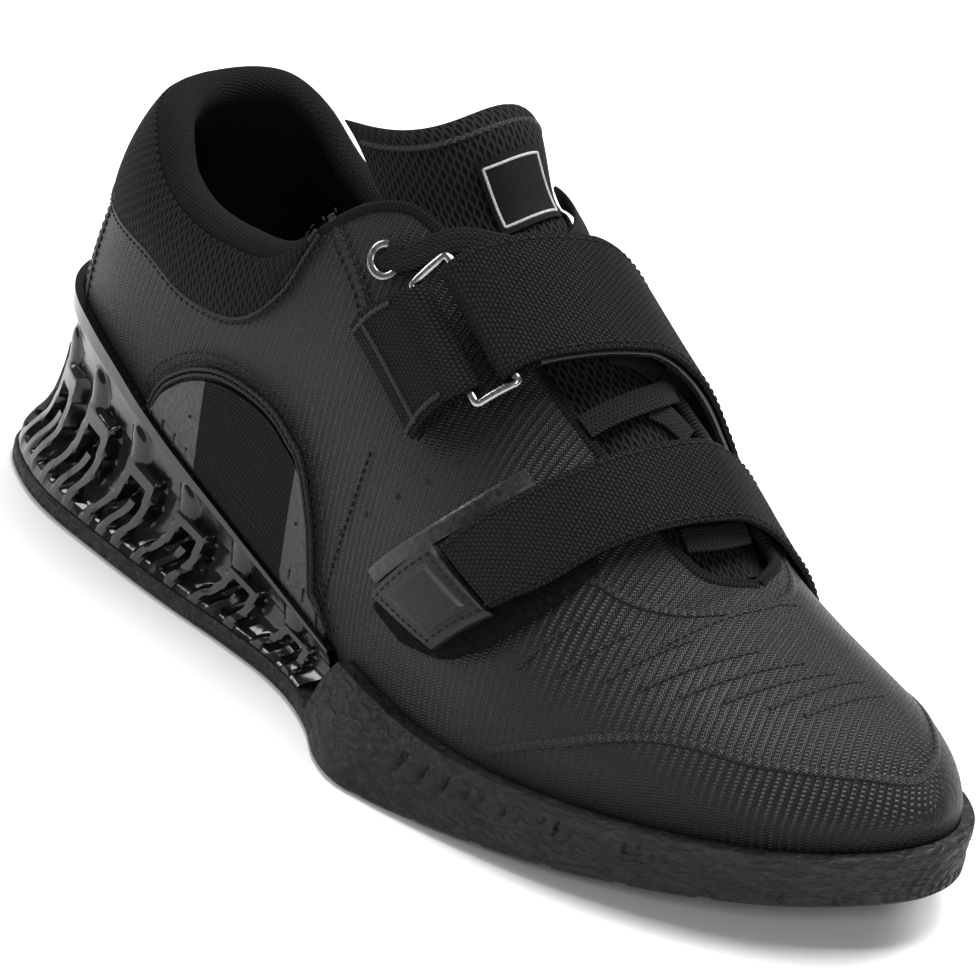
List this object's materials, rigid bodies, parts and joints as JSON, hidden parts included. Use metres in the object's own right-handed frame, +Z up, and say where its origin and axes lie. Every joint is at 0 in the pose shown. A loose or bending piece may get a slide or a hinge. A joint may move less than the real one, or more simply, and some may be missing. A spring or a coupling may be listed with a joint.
{
  "type": "weightlifting shoe",
  "caption": "Low-cut right weightlifting shoe with a raised moulded heel block, laced throat, instep strap through a wire ring and a forefoot strap with a pull tab.",
  "frame": {"origin": "on the floor, on the sole's flat underside, halfway along its length", "axes": "+X towards the toe, +Y towards the big-toe (medial) side, +Z up"},
  "size_m": [0.295, 0.1083, 0.1377],
  "materials": {
    "rubber": "matt, finely wrinkled",
    "moulded_plastic": "high gloss",
    "shell_fabric": "coated twill with a soft sheen",
    "air_mesh": "open padded mesh",
    "webbing": "ribbed weave",
    "steel": "polished",
    "insole_cloth": "fine knit"
  },
  "bodies": {
    "root": {"outsole": "rubber", "heel_block": "moulded_plastic", "insole": "insole_cloth", "upper": "shell_fabric", "tongue": "air_mesh", "tongue_label": "webbing", "strap_welt": "shell_fabric", "loop_patch": "webbing", "ring_holder": "webbing", "wire_ring": "steel", "upper_strap": "webbing", "lower_strap": "webbing", "strap_tab": "rubber", "lace_top": "webbing", "lace_bar_rear": "webbing", "lace_bar_middle": "webbing", "lace_bar_front": "webbing", "lace_bar_end": "webbing", "lace_cross_rear": "webbing", "lace_cross_front": "webbing", "eyelet_lateral": "steel", "eyelet_medial": "steel", "gore_lateral": "webbing", "gore_medial": "webbing"}
  },
  "joints": []
}
